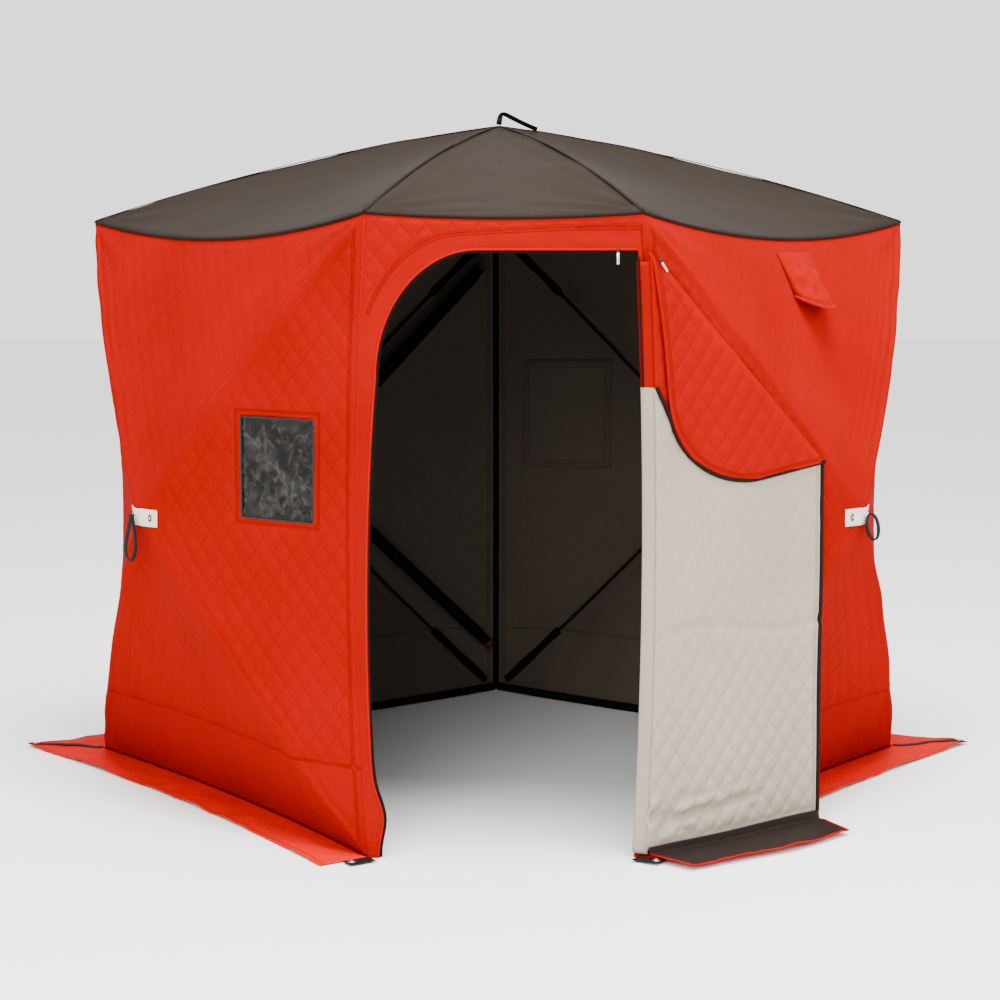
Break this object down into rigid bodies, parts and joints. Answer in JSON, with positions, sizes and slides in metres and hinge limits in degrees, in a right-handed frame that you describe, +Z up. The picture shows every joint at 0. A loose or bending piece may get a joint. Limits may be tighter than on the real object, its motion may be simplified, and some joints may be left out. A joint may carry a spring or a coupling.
{
  "type": "ice fishing hut",
  "caption": "Five-sided pop-up fabric ice fishing shelter with quilted walls on rods and hubs, dark roof, snow skirts and a fabric door that swings on its right edge.",
  "frame": {"origin": "middle of the footprint box, snow skirts and open door included, on the ice", "axes": "+Z up, door front facing -Y, +X to the right as the door front is faced"},
  "size_m": [3.1372, 2.7803, 2.0668],
  "materials": {
    "red_quilted": "quilted polyester",
    "roof_fabric": "woven polyester",
    "rod_fibreglass": "satin fibreglass",
    "hub_plastic": "moulded",
    "black_nylon": "woven nylon",
    "black_webbing": "webbing",
    "red_binding": "binding tape",
    "silver_patch": "reflective tape",
    "grommet_metal": "plated",
    "clear_vinyl": "clear flexible vinyl",
    "black_lining": "woven",
    "grey_lining": "quilted polyester",
    "skirt_fabric": "woven polyester"
  },
  "bodies": {
    "shell": {"left_front_wall_upper": "red_quilted", "left_front_wall_lower": "red_quilted", "left_front_wall_door_side": "red_quilted", "left_front_wall_corner_side": "red_quilted", "left_back_wall_upper": "red_quilted", "left_back_wall_lower": "red_quilted", "left_back_wall_front_side": "red_quilted", "left_back_wall_back_side": "red_quilted", "right_back_wall_upper": "red_quilted", "right_back_wall_lower": "red_quilted", "right_back_wall_back_side": "red_quilted", "right_back_wall_front_side": "red_quilted", "right_front_wall_upper": "red_quilted", "right_front_wall_lower": "red_quilted", "right_front_wall_corner_side": "red_quilted", "right_front_wall_door_side": "red_quilted", "roof_front": "roof_fabric", "roof_left_front": "roof_fabric", "roof_left_back": "roof_fabric", "roof_right_back": "roof_fabric", "roof_right_front": "roof_fabric", "front_header": "red_quilted", "front_jamb_left": "red_quilted", "front_jamb_right": "red_quilted", "left_front_skirt": "skirt_fabric", "left_back_skirt": "skirt_fabric", "right_back_skirt": "skirt_fabric", "right_front_skirt": "skirt_fabric", "wall_rods": "rod_fibreglass", "rod_end_sleeves": "black_nylon", "wall_hubs": "hub_plastic", "roof_rods": "rod_fibreglass", "roof_hub": "hub_plastic", "hub_patches": "silver_patch", "pull_straps": "black_webbing", "roof_strap": "black_webbing", "brace_bars": "black_nylon", "brace_caps": "red_binding", "brace_link": "black_webbing", "anchor_tabs": "black_webbing", "tab_grommets": "grommet_metal", "window_panes": "clear_vinyl", "back_window_cover": "black_lining", "vent_hood": "red_quilted", "header_zip_pull": "grommet_metal"},
    "door": {"door_panel": "grey_lining", "door_corner_fold": "red_quilted", "door_skirt": "skirt_fabric", "door_zip_sliders": "hub_plastic"}
  },
  "joints": [
    {"name": "door_swing", "type": "hinge", "parent": "shell", "child": "door", "pos_m": [0.358, -1.2729, 0.82], "axis": [0, 0, -1], "range_deg": [0, 217]}
  ]
}
